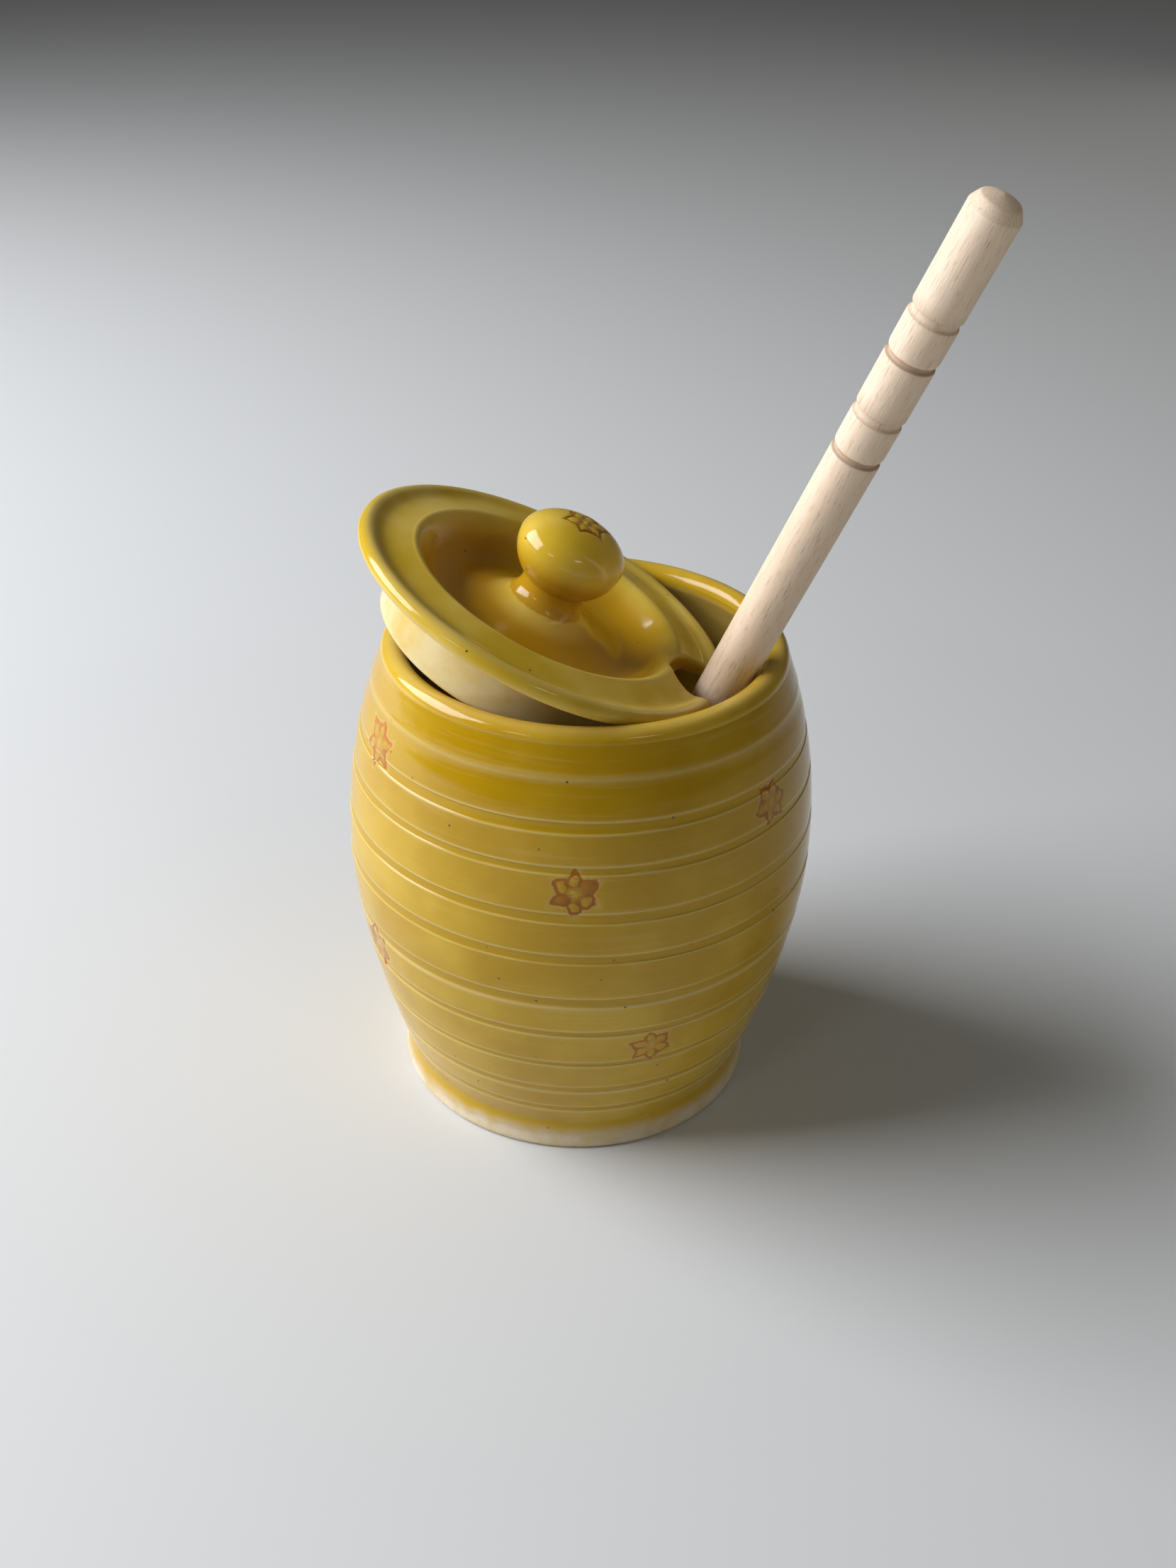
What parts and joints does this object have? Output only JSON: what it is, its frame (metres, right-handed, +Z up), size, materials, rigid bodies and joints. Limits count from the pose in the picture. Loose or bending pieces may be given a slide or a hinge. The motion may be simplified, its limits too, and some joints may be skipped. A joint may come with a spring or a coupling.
{
  "type": "honey pot with loose lid and dipper",
  "caption": "Beehive-shaped glazed pot with turned rings, a loose notched lid with a ball knob lying askew in its mouth, and a turned wooden honey dipper.",
  "frame": {"origin": "centre of the pot's flat base", "axes": "+Z up along the pot's axis, +X towards the side the dipper leans to, -Y towards the viewer of the picture"},
  "size_m": [0.1178, 0.1, 0.2022],
  "materials": {
    "honey_glaze": "glossy translucent honey-yellow glaze over cream clay, bare at the foot",
    "honey_glaze_lid": "glossy translucent honey-yellow glaze, thin and creamy on the collar",
    "pale_wood": "turned and sanded, bare"
  },
  "bodies": {
    "pot": {"pot": "honey_glaze"},
    "lid": {"lid": "honey_glaze_lid"},
    "dipper": {"dipper": "pale_wood"}
  },
  "joints": [
    {"name": "lid_lift", "type": "slide", "parent": "pot", "child": "lid", "axis": [-0.25, 0, 0.9682], "range_m": [0, 0.06]},
    {"name": "dipper_lift", "type": "slide", "parent": "pot", "child": "dipper", "axis": [0.3179, -0.249, 0.9149], "range_m": [0, 0.03]}
  ]
}
